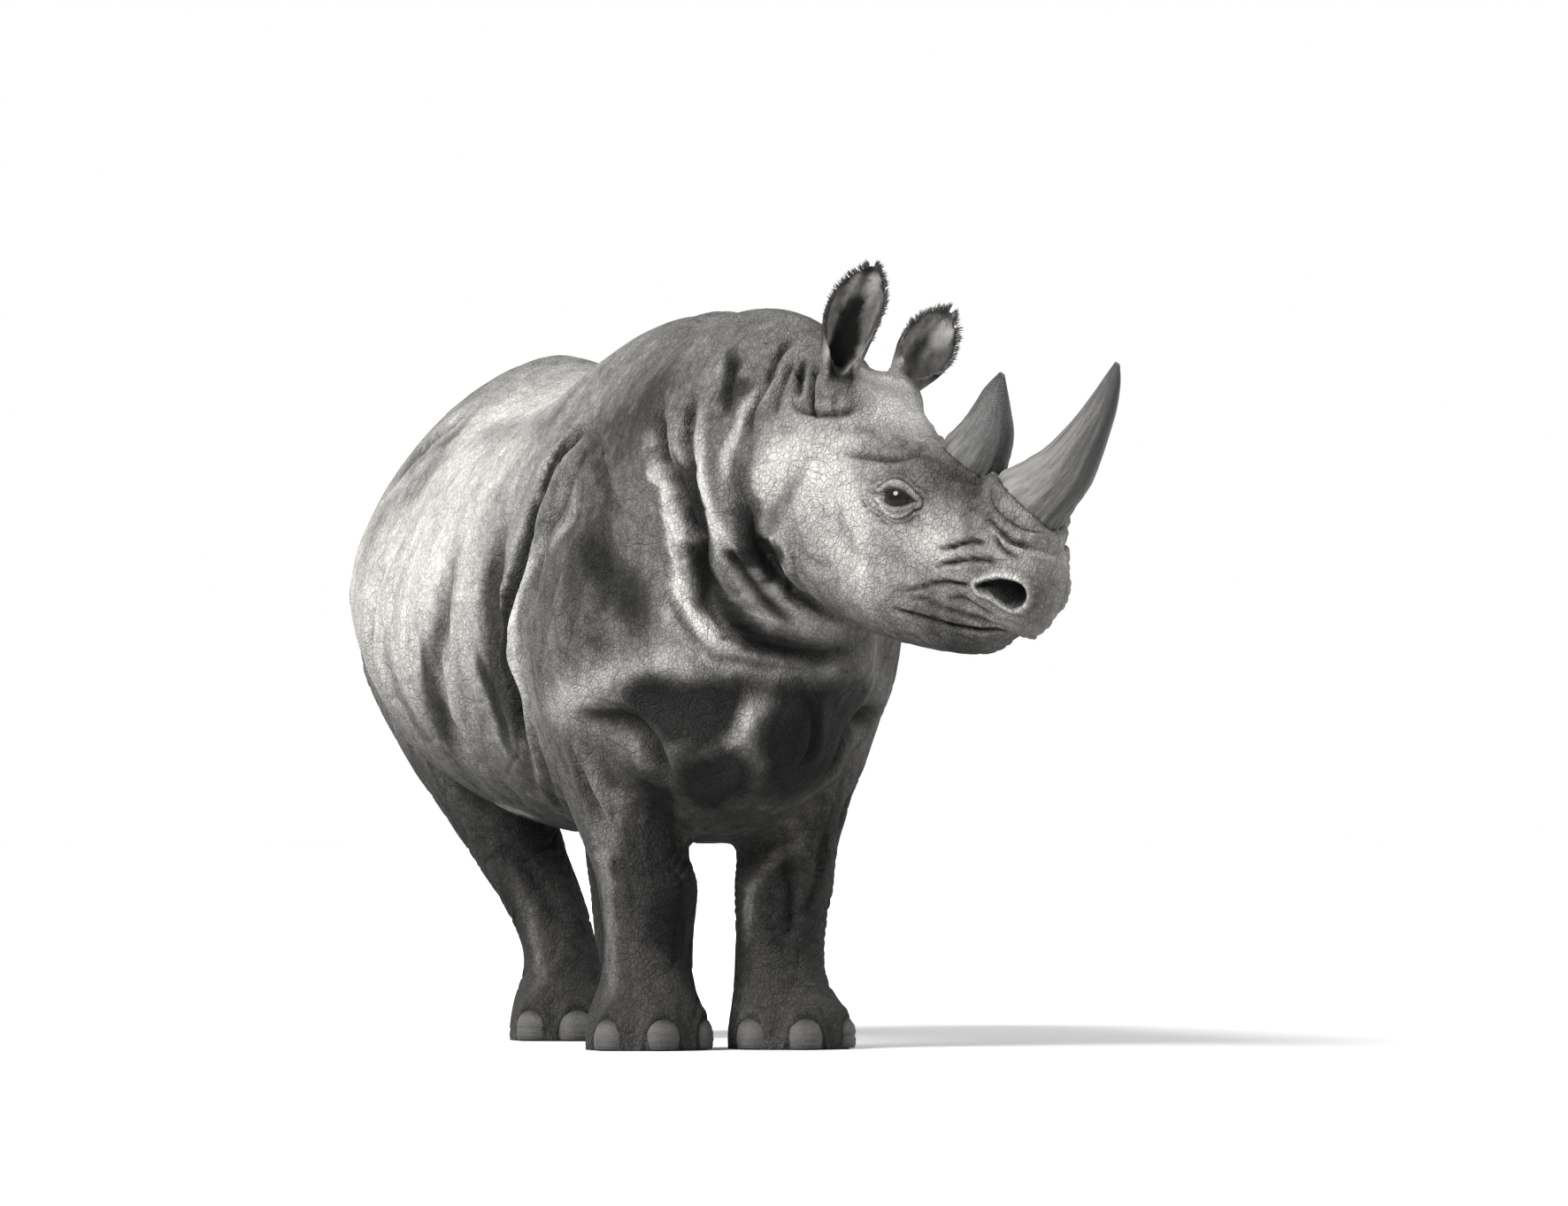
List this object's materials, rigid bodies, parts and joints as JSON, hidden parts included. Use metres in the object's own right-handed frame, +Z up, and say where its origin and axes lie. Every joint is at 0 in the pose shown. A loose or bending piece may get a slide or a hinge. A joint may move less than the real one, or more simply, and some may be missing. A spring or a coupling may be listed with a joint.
{
  "type": "rhinoceros",
  "caption": "Life-size still model of a black rhinoceros, standing with its head turned to its left, with horns, cupped ears, tail and toenails.",
  "frame": {"origin": "middle of the model's box, on the floor", "axes": "+Z up, the animal faces -Y, its left side is +X"},
  "size_m": [1.0612, 2.9284, 1.6839],
  "materials": {
    "hide": "dry, folded and dusty",
    "horn": "fibrous, worn smooth towards the tip",
    "nail": "dull and scratched",
    "eye": "wet gloss"
  },
  "bodies": {
    "root": {"ear_left": "hide", "ear_right": "hide", "eye_left": "eye", "eye_right": "eye", "forefoot_left": "hide", "forefoot_right": "hide", "foreleg_left": "hide", "foreleg_right": "hide", "head": "hide", "hindfoot_left": "hide", "hindfoot_right": "hide", "hindleg_left": "hide", "hindleg_right": "hide", "horn_front": "horn", "horn_rear": "horn", "nail_forefoot_left_1": "nail", "nail_forefoot_left_2": "nail", "nail_forefoot_left_3": "nail", "nail_forefoot_right_1": "nail", "nail_forefoot_right_2": "nail", "nail_forefoot_right_3": "nail", "nail_hindfoot_left_1": "nail", "nail_hindfoot_left_2": "nail", "nail_hindfoot_left_3": "nail", "nail_hindfoot_right_1": "nail", "nail_hindfoot_right_2": "nail", "nail_hindfoot_right_3": "nail", "neck": "hide", "tail": "hide", "trunk": "hide"}
  },
  "joints": []
}
